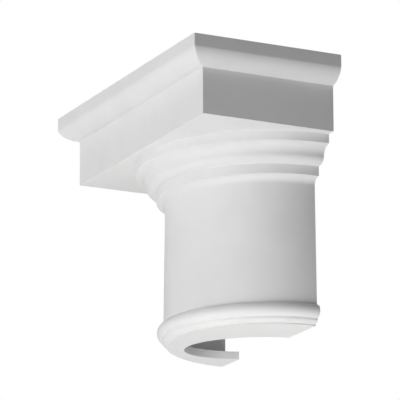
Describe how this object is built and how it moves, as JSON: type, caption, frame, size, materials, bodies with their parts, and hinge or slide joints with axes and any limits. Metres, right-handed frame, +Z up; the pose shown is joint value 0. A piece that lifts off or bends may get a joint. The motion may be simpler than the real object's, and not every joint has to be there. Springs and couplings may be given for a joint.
{
  "type": "half column capital",
  "caption": "White rigid-foam half capital for a column engaged in a wall: square moulded top, round mouldings, plain neck, hollow behind.",
  "frame": {"origin": "middle of the bounding box's underside; the underside of the neck's foot is z = 0", "axes": "+Z up, +X along the wall, +Y into the wall; the flat back is the plane y = 0.0925, and the column's axis lies in it at x = 0"},
  "size_m": [0.37, 0.185, 0.3],
  "materials": {
    "half_capital": "smooth white primer on moulded rigid foam"
  },
  "bodies": {
    "root": {"half_capital": "half_capital"}
  },
  "joints": []
}
